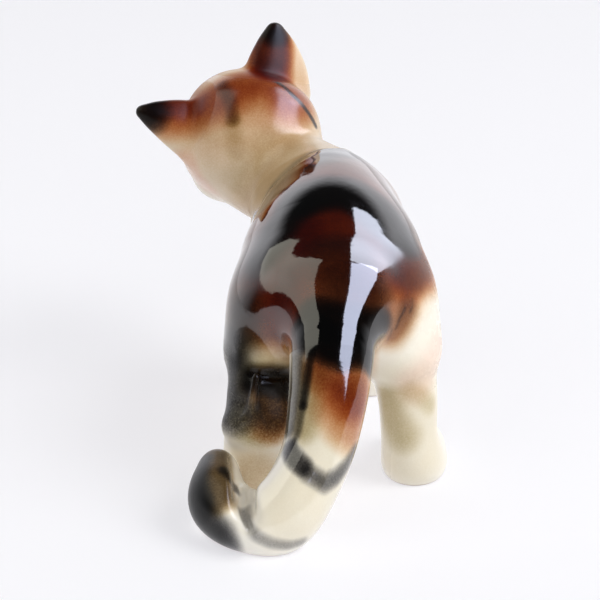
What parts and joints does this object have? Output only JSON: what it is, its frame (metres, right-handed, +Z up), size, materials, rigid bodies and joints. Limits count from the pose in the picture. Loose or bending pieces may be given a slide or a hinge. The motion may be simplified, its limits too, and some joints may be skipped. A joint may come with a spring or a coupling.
{
  "type": "ceramic kitten figurine",
  "caption": "glazed ceramic standing kitten with its head turned to one side and a thick ringed tail curled round a hind foot, slip-cast pieces luted together",
  "frame": {"origin": "middle of the bounding box, on the table that the figure stands on", "axes": "+Z up, the figure faces -Y, its own left side is +X"},
  "size_m": [0.0707, 0.1232, 0.0824],
  "materials": {
    "dark_glaze": "clear gloss glaze over airbrushed black and red-brown, fading to tan",
    "cream_glaze": "clear gloss glaze over cream clay with a light brown airbrushed crown and shading",
    "rust_glaze": "clear gloss glaze over airbrushed rust brown with black bands and tips",
    "smoke_glaze": "clear gloss glaze over speckled black and olive brown fading to cream"
  },
  "bodies": {
    "root": {"body": "dark_glaze", "head": "cream_glaze", "ear_left": "rust_glaze", "ear_right": "rust_glaze", "foreleg_left": "cream_glaze", "foreleg_right": "cream_glaze", "hind_leg_left": "smoke_glaze", "hind_leg_right": "cream_glaze", "tail": "rust_glaze"}
  },
  "joints": []
}
